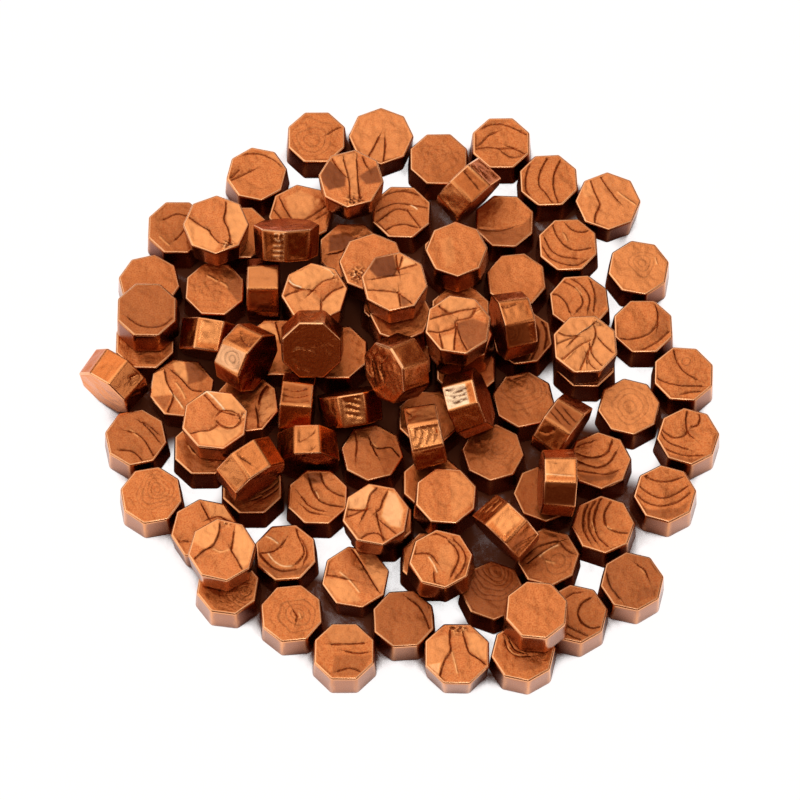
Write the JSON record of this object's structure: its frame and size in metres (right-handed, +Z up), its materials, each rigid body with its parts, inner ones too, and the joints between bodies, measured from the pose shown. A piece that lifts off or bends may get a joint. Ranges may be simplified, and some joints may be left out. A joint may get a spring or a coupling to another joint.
{
  "type": "sealing wax bead set",
  "caption": "Loose heap of eight-sided metallic copper sealing wax beads, flat, leaning and on edge.",
  "frame": {"origin": "on the table, under the middle of the heap's outline", "axes": "+Z up from the table, +X to the viewer's right, +Y away from the viewer"},
  "size_m": [0.0868, 0.086, 0.0158],
  "materials": {
    "wax": "pearly satin"
  },
  "bodies": {
    "heap": {"back_left_rim_pair": "wax", "back_rim_triple": "wax", "back_right_rim_pair": "wax", "right_back_rim_pair": "wax", "right_rim_pair": "wax", "right_front_rim_pair": "wax", "front_right_rim_triple": "wax", "front_rim_triple": "wax", "front_left_rim_triple": "wax", "left_front_rim_triple": "wax", "left_rim_triple": "wax", "left_back_rim_pair": "wax", "back_left_triple": "wax", "back_pair": "wax", "back_middle_pair": "wax", "back_right_pair": "wax", "right_back_pair": "wax", "right_pair": "wax", "right_front_pair": "wax", "front_right_pair": "wax", "front_triple": "wax", "front_left_triple": "wax", "middle_front_triple": "wax", "middle_triple": "wax", "middle_right_pair": "wax", "middle_pair": "wax", "middle_left_pair": "wax", "edge_bead_middle": "wax", "second_layer_triple": "wax"},
    "edge_bead_left_rim": {"edge_bead_left_rim": "wax"},
    "edge_bead_back": {"edge_bead_back": "wax"},
    "edge_bead_left": {"edge_bead_left": "wax"},
    "edge_bead_right": {"edge_bead_right": "wax"},
    "edge_bead_front": {"edge_bead_front": "wax"},
    "second_layer_back_left": {"second_layer_back_left": "wax"},
    "second_layer_back": {"second_layer_back": "wax"},
    "second_layer_left": {"second_layer_left": "wax"},
    "second_layer_front_left": {"second_layer_front_left": "wax"},
    "second_layer_front_right": {"second_layer_front_right": "wax"},
    "second_layer_front_rim": {"second_layer_front_rim": "wax"},
    "second_layer_middle": {"second_layer_middle": "wax"},
    "second_layer_back_right": {"second_layer_back_right": "wax"},
    "top_bead_back": {"top_bead_back": "wax"},
    "top_bead_right": {"top_bead_right": "wax"},
    "second_layer_right": {"second_layer_right": "wax"},
    "second_layer_front_middle": {"second_layer_front_middle": "wax"},
    "second_layer_front_high": {"second_layer_front_high": "wax"},
    "second_layer_front_low": {"second_layer_front_low": "wax"},
    "leaning_bead_middle": {"leaning_bead_middle": "wax"},
    "leaning_bead_right": {"leaning_bead_right": "wax"},
    "leaning_bead_back": {"leaning_bead_back": "wax"},
    "leaning_bead_front": {"leaning_bead_front": "wax"},
    "leaning_bead_back_left": {"leaning_bead_back_left": "wax"},
    "upright_bead_left": {"upright_bead_left": "wax"},
    "upright_bead_front_left": {"upright_bead_front_left": "wax"},
    "upright_bead_back_right": {"upright_bead_back_right": "wax"},
    "upright_bead_middle": {"upright_bead_middle": "wax"},
    "upright_bead_right": {"upright_bead_right": "wax"},
    "leaning_bead_high_right": {"leaning_bead_high_right": "wax"},
    "leaning_bead_high_left": {"leaning_bead_high_left": "wax"}
  },
  "joints": [
    {"name": "edge_bead_left_rim_lift", "type": "slide", "parent": "heap", "child": "edge_bead_left_rim", "axis": [0, 0, 1], "range_m": [0, 0.02]},
    {"name": "edge_bead_back_lift", "type": "slide", "parent": "heap", "child": "edge_bead_back", "axis": [0, 0, 1], "range_m": [0, 0.02]},
    {"name": "edge_bead_left_lift", "type": "slide", "parent": "heap", "child": "edge_bead_left", "axis": [0, 0, 1], "range_m": [0, 0.02]},
    {"name": "edge_bead_right_lift", "type": "slide", "parent": "heap", "child": "edge_bead_right", "axis": [0, 0, 1], "range_m": [0, 0.02]},
    {"name": "edge_bead_front_lift", "type": "slide", "parent": "heap", "child": "edge_bead_front", "axis": [0, 0, 1], "range_m": [0, 0.02]},
    {"name": "second_layer_back_left_lift", "type": "slide", "parent": "heap", "child": "second_layer_back_left", "axis": [0, 0, 1], "range_m": [0, 0.02]},
    {"name": "second_layer_back_lift", "type": "slide", "parent": "heap", "child": "second_layer_back", "axis": [0, 0, 1], "range_m": [0, 0.02]},
    {"name": "second_layer_left_lift", "type": "slide", "parent": "heap", "child": "second_layer_left", "axis": [0, 0, 1], "range_m": [0, 0.02]},
    {"name": "second_layer_front_left_lift", "type": "slide", "parent": "heap", "child": "second_layer_front_left", "axis": [0, 0, 1], "range_m": [0, 0.02]},
    {"name": "second_layer_front_right_lift", "type": "slide", "parent": "heap", "child": "second_layer_front_right", "axis": [0, 0, 1], "range_m": [0, 0.02]},
    {"name": "second_layer_front_rim_lift", "type": "slide", "parent": "heap", "child": "second_layer_front_rim", "axis": [0, 0, 1], "range_m": [0, 0.02]},
    {"name": "second_layer_middle_lift", "type": "slide", "parent": "heap", "child": "second_layer_middle", "axis": [0, 0, 1], "range_m": [0, 0.02]},
    {"name": "second_layer_back_right_lift", "type": "slide", "parent": "heap", "child": "second_layer_back_right", "axis": [0, 0, 1], "range_m": [0, 0.02]},
    {"name": "top_bead_back_lift", "type": "slide", "parent": "heap", "child": "top_bead_back", "axis": [0, 0, 1], "range_m": [0, 0.02]},
    {"name": "top_bead_right_lift", "type": "slide", "parent": "heap", "child": "top_bead_right", "axis": [0, 0, 1], "range_m": [0, 0.02]},
    {"name": "second_layer_right_lift", "type": "slide", "parent": "heap", "child": "second_layer_right", "axis": [0, 0, 1], "range_m": [0, 0.02]},
    {"name": "second_layer_front_middle_lift", "type": "slide", "parent": "heap", "child": "second_layer_front_middle", "axis": [0, 0, 1], "range_m": [0, 0.02]},
    {"name": "second_layer_front_high_lift", "type": "slide", "parent": "heap", "child": "second_layer_front_high", "axis": [0, 0, 1], "range_m": [0, 0.02]},
    {"name": "second_layer_front_low_lift", "type": "slide", "parent": "heap", "child": "second_layer_front_low", "axis": [0, 0, 1], "range_m": [0, 0.02]},
    {"name": "leaning_bead_middle_lift", "type": "slide", "parent": "heap", "child": "leaning_bead_middle", "axis": [0, 0, 1], "range_m": [0, 0.02]},
    {"name": "leaning_bead_right_lift", "type": "slide", "parent": "heap", "child": "leaning_bead_right", "axis": [0, 0, 1], "range_m": [0, 0.02]},
    {"name": "leaning_bead_back_lift", "type": "slide", "parent": "heap", "child": "leaning_bead_back", "axis": [0, 0, 1], "range_m": [0, 0.02]},
    {"name": "leaning_bead_front_lift", "type": "slide", "parent": "heap", "child": "leaning_bead_front", "axis": [0, 0, 1], "range_m": [0, 0.02]},
    {"name": "leaning_bead_back_left_lift", "type": "slide", "parent": "edge_bead_back", "child": "leaning_bead_back_left", "axis": [0, 0, 1], "range_m": [0, 0.02]},
    {"name": "upright_bead_left_lift", "type": "slide", "parent": "edge_bead_left", "child": "upright_bead_left", "axis": [0, 0, 1], "range_m": [0, 0.02]},
    {"name": "upright_bead_front_left_lift", "type": "slide", "parent": "edge_bead_front", "child": "upright_bead_front_left", "axis": [0, 0, 1], "range_m": [0, 0.02]},
    {"name": "upright_bead_back_right_lift", "type": "slide", "parent": "heap", "child": "upright_bead_back_right", "axis": [0, 0, 1], "range_m": [0, 0.02]},
    {"name": "upright_bead_middle_lift", "type": "slide", "parent": "second_layer_front_high", "child": "upright_bead_middle", "axis": [0, 0, 1], "range_m": [0, 0.02]},
    {"name": "upright_bead_right_lift", "type": "slide", "parent": "heap", "child": "upright_bead_right", "axis": [0, 0, 1], "range_m": [0, 0.02]},
    {"name": "leaning_bead_high_right_lift", "type": "slide", "parent": "edge_bead_right", "child": "leaning_bead_high_right", "axis": [0, 0, 1], "range_m": [0, 0.02]},
    {"name": "leaning_bead_high_left_lift", "type": "slide", "parent": "second_layer_middle", "child": "leaning_bead_high_left", "axis": [0, 0, 1], "range_m": [0, 0.02]}
  ]
}
